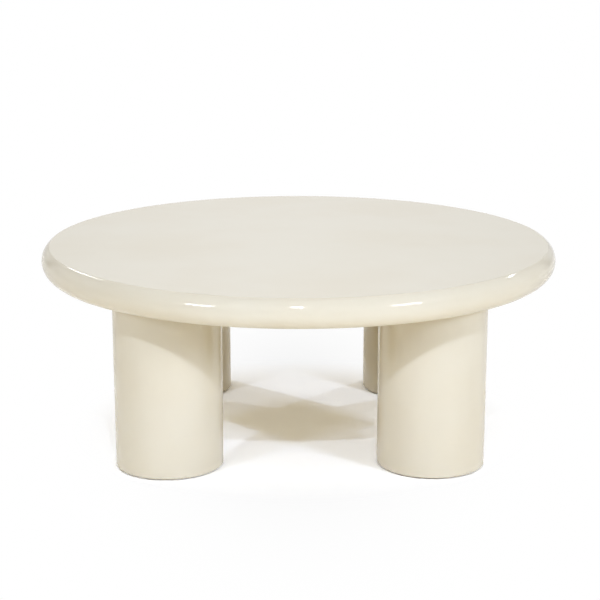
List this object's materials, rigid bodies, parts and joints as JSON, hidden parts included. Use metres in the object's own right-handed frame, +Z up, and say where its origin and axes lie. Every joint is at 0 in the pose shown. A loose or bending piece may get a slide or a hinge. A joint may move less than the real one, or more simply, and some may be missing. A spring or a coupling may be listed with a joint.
{
  "type": "round cocktail table",
  "caption": "Low round cocktail table with a thick bullnosed top on fat drum legs, gloss cream lacquer, with hidden screw feet for levelling.",
  "frame": {"origin": "on the floor under the middle of the top", "axes": "+Z up through the middle of the top, -Y towards the front, +X to the right"},
  "size_m": [1.016, 1.016, 0.381],
  "materials": {
    "cream_lacquer": "gloss lacquer",
    "raw_board": "bare fibreboard",
    "zinc_steel": "zinc plated",
    "foot_nylon": "moulded nylon"
  },
  "bodies": {
    "table": {"crosswise_rib_1": "raw_board", "crosswise_rib_2": "raw_board", "crosswise_rib_3": "raw_board", "crosswise_rib_4": "raw_board", "crosswise_rib_5": "raw_board", "crosswise_rib_6": "raw_board", "crosswise_rib_7": "raw_board", "foot_nuts": "zinc_steel", "leg_base_disc_back_left": "raw_board", "leg_base_disc_back_right": "raw_board", "leg_base_disc_front_left": "raw_board", "leg_base_disc_front_right": "raw_board", "leg_block_back_left": "raw_board", "leg_block_back_right": "raw_board", "leg_block_front_left": "raw_board", "leg_block_front_right": "raw_board", "leg_bolts": "zinc_steel", "leg_former_back_left": "raw_board", "leg_former_back_right": "raw_board", "leg_former_front_left": "raw_board", "leg_former_front_right": "raw_board", "leg_nuts": "zinc_steel", "leg_shell_back_left": "cream_lacquer", "leg_shell_back_right": "cream_lacquer", "leg_shell_front_left": "cream_lacquer", "leg_shell_front_right": "cream_lacquer", "leg_top_disc_back_left": "raw_board", "leg_top_disc_back_right": "raw_board", "leg_top_disc_front_left": "raw_board", "leg_top_disc_front_right": "raw_board", "lengthwise_rib_1": "raw_board", "lengthwise_rib_2": "raw_board", "lengthwise_rib_3": "raw_board", "lengthwise_rib_4": "raw_board", "lengthwise_rib_5": "raw_board", "lengthwise_rib_6": "raw_board", "lengthwise_rib_7": "raw_board", "rim_segment_1": "cream_lacquer", "rim_segment_2": "cream_lacquer", "rim_segment_3": "cream_lacquer", "rim_segment_4": "cream_lacquer", "rim_segment_5": "cream_lacquer", "rim_segment_6": "cream_lacquer", "rim_segment_7": "cream_lacquer", "rim_segment_8": "cream_lacquer", "top_inserts": "zinc_steel", "top_panel": "cream_lacquer", "underside_panel": "cream_lacquer"},
    "leveller_front_left": {"foot_pad_front_left": "foot_nylon", "foot_stem_front_left": "zinc_steel"},
    "leveller_front_right": {"foot_pad_front_right": "foot_nylon", "foot_stem_front_right": "zinc_steel"},
    "leveller_back_right": {"foot_pad_back_right": "foot_nylon", "foot_stem_back_right": "zinc_steel"},
    "leveller_back_left": {"foot_pad_back_left": "foot_nylon", "foot_stem_back_left": "zinc_steel"}
  },
  "joints": [
    {"name": "level_front_left", "type": "slide", "parent": "table", "child": "leveller_front_left", "axis": [0, 0, -1], "range_m": [0, 0.012]},
    {"name": "level_front_right", "type": "slide", "parent": "table", "child": "leveller_front_right", "axis": [0, 0, -1], "range_m": [0, 0.012]},
    {"name": "level_back_right", "type": "slide", "parent": "table", "child": "leveller_back_right", "axis": [0, 0, -1], "range_m": [0, 0.012]},
    {"name": "level_back_left", "type": "slide", "parent": "table", "child": "leveller_back_left", "axis": [0, 0, -1], "range_m": [0, 0.012]}
  ]
}
